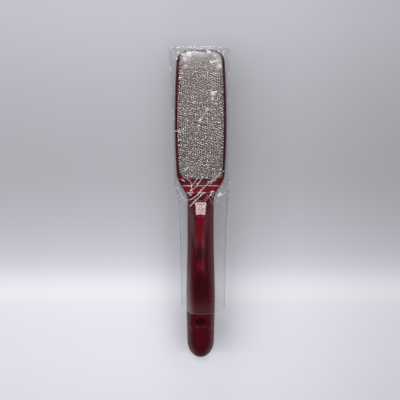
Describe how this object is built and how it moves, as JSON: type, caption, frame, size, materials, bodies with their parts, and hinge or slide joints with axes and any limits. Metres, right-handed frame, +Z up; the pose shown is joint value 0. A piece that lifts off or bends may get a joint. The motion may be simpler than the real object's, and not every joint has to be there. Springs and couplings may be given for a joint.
{
  "type": "foot file",
  "caption": "Paddle-headed foot file with a toothed metal plate on each face of the head and a waisted translucent grip, in a clear film sleeve that pulls off over the head.",
  "frame": {"origin": "on the table that the sleeve lies on, under the middle of the file in its sleeve", "axes": "+X across the file, +Y along it from the tail to the head, +Z up, away from the table"},
  "size_m": [0.055, 0.2636, 0.0145],
  "materials": {
    "handle_plastic": "deep red translucent moulding, polished, darker where it is thick",
    "plate_steel": "bare metal sheet with a random field of small raised teeth, bright at their tips",
    "adhesive": "pale olive adhesive film, seen faintly through the plastic",
    "clear_film": "clear glossy packing film with creases and puckered welds"
  },
  "bodies": {
    "file": {"handle": "handle_plastic", "front_adhesive": "adhesive", "front_plate": "plate_steel", "rear_adhesive": "adhesive", "rear_plate": "plate_steel"},
    "sleeve": {"sleeve_rear_film": "clear_film", "sleeve_front_film": "clear_film"}
  },
  "joints": [
    {"name": "sleeve_pull", "type": "slide", "parent": "file", "child": "sleeve", "axis": [0, 1, 0], "range_m": [0, 0.23]}
  ]
}
